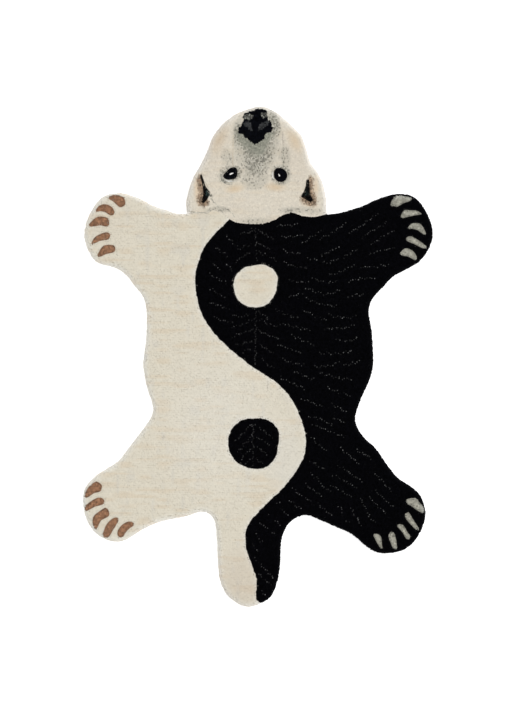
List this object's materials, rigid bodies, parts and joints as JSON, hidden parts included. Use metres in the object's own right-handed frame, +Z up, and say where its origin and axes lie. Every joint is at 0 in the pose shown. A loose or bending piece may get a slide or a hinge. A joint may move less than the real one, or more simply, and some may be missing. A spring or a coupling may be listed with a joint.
{
  "type": "bear-shaped children's rug",
  "caption": "Flat tufted wool rug cut in the outline of a bear skin, with a head, short tail and splayed legs, to lie on a floor.",
  "frame": {"origin": "on the floor, at the middle of the rug's outline", "axes": "+Y from the tail towards the nose, +Z up out of the pile, +X towards the paws on the black half"},
  "size_m": [0.6305, 0.902, 0.0185],
  "materials": {
    "pelt_wool": "cut wool pile, cream and black",
    "head_wool": "cut wool pile, warm cream"
  },
  "bodies": {
    "root": {"pelt": "pelt_wool", "head": "head_wool"}
  },
  "joints": []
}
